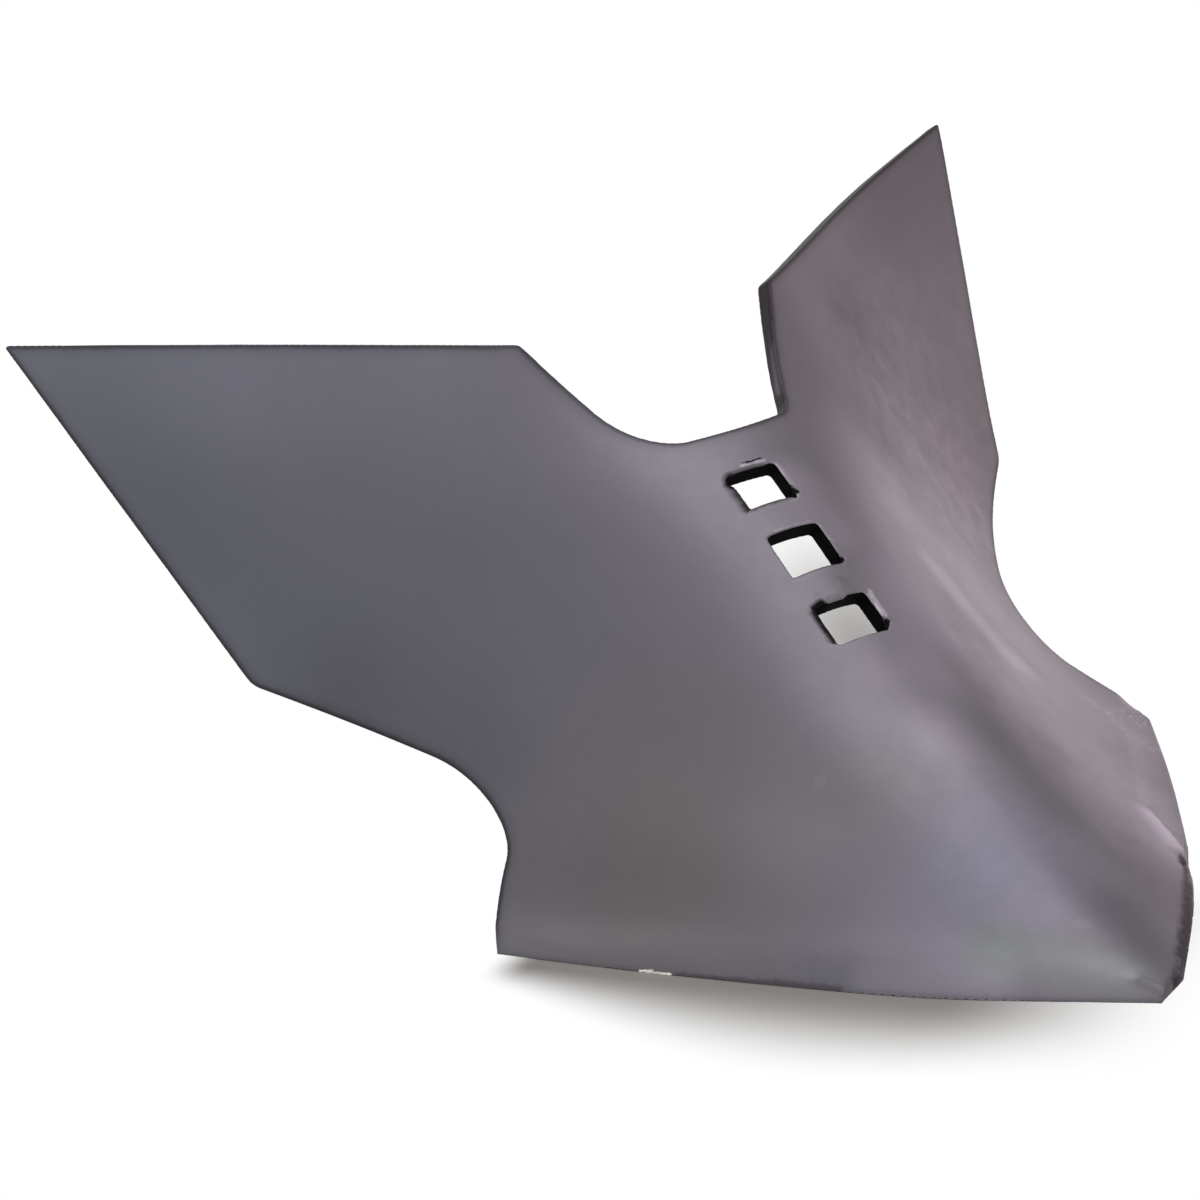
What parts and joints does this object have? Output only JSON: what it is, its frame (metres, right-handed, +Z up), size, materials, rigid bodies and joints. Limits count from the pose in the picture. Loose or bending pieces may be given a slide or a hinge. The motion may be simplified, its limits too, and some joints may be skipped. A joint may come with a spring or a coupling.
{
  "type": "furrower shovel",
  "caption": "Pressed steel furrower shovel blade with two swept wings, a V-shaped cutting edge and square bolt holes down its ridge.",
  "frame": {"origin": "centre of the middle bolt hole on the back face, where the shank is bolted on", "axes": "+X across the blade to the right as seen from the front, +Y back, away from the nose, +Z up; the cutting edges lie level, 73.5 mm below the origin"},
  "size_m": [0.3052, 0.2898, 0.1547],
  "materials": {
    "blade_steel": "semi-matte heat-treated steel"
  },
  "bodies": {
    "root": {"shovel_blade": "blade_steel"}
  },
  "joints": []
}
